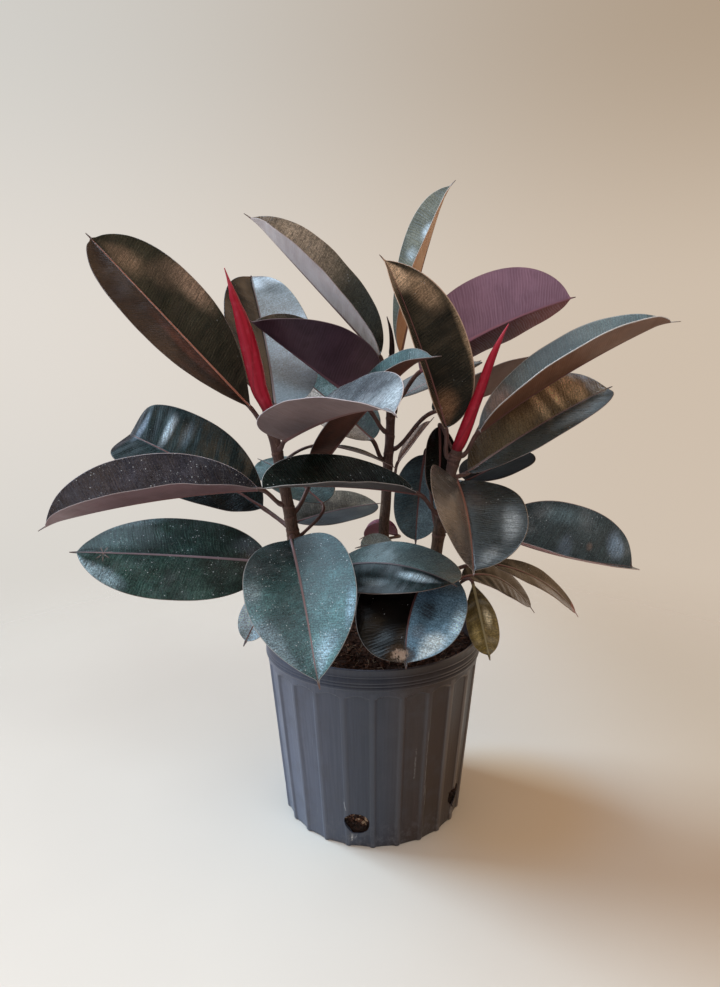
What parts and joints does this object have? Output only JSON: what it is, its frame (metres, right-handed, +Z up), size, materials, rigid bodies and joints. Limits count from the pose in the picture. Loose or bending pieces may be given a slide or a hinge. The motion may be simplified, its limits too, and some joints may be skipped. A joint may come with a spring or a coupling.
{
  "type": "potted rubber plant",
  "caption": "Broad-leaved rubber plant with woody stems, folded glossy leaves and pointed bud sheaths, growing in bark mix in a round fluted nursery pot with drainage holes.",
  "frame": {"origin": "centre of the underside of the pot, on the surface it stands on", "axes": "+Z up along the pot's axis, -Y towards the viewer of the picture, +X to the viewer's right"},
  "size_m": [0.6977, 0.3609, 0.7514],
  "materials": {
    "pot_plastic": "moulded black plastic with a slight sheen, scuffed and dusty",
    "soil_mix": "loose dark brown bark and coir mix",
    "bark": "brown bark with rings where leaves have dropped",
    "leaf_skin": "thick waxy leaf, glossy black-green above and matt maroon-brown below, with a reddish midrib",
    "sheath_red": "smooth crimson bud sheath, satin",
    "sheath_brown": "thin dark brown bud sheath, satin"
  },
  "bodies": {
    "root": {"pot": "pot_plastic", "soil": "soil_mix", "stem_left": "bark", "stem_middle": "bark", "stem_right": "bark", "sheath_left": "sheath_red", "sheath_middle": "sheath_brown", "sheath_right": "sheath_red", "leaf_left_01": "leaf_skin", "leaf_left_02": "leaf_skin", "leaf_left_03": "leaf_skin", "leaf_left_04": "leaf_skin", "leaf_left_05": "leaf_skin", "leaf_left_06": "leaf_skin", "leaf_left_07": "leaf_skin", "leaf_left_08": "leaf_skin", "leaf_left_09": "leaf_skin", "leaf_left_10": "leaf_skin", "leaf_left_11": "leaf_skin", "leaf_left_12": "leaf_skin", "leaf_left_13": "leaf_skin", "leaf_middle_01": "leaf_skin", "leaf_middle_02": "leaf_skin", "leaf_middle_03": "leaf_skin", "leaf_middle_04": "leaf_skin", "leaf_middle_05": "leaf_skin", "leaf_middle_06": "leaf_skin", "leaf_middle_07": "leaf_skin", "leaf_middle_08": "leaf_skin", "leaf_middle_09": "leaf_skin", "leaf_middle_10": "leaf_skin", "leaf_right_01": "leaf_skin", "leaf_right_02": "leaf_skin", "leaf_right_03": "leaf_skin", "leaf_right_04": "leaf_skin", "leaf_right_05": "leaf_skin", "leaf_right_06": "leaf_skin", "leaf_right_07": "leaf_skin", "leaf_right_08": "leaf_skin", "leaf_right_09": "leaf_skin", "leaf_right_10": "leaf_skin", "leaf_right_11": "leaf_skin", "leaf_right_12": "leaf_skin", "leaf_right_13": "leaf_skin"}
  },
  "joints": []
}
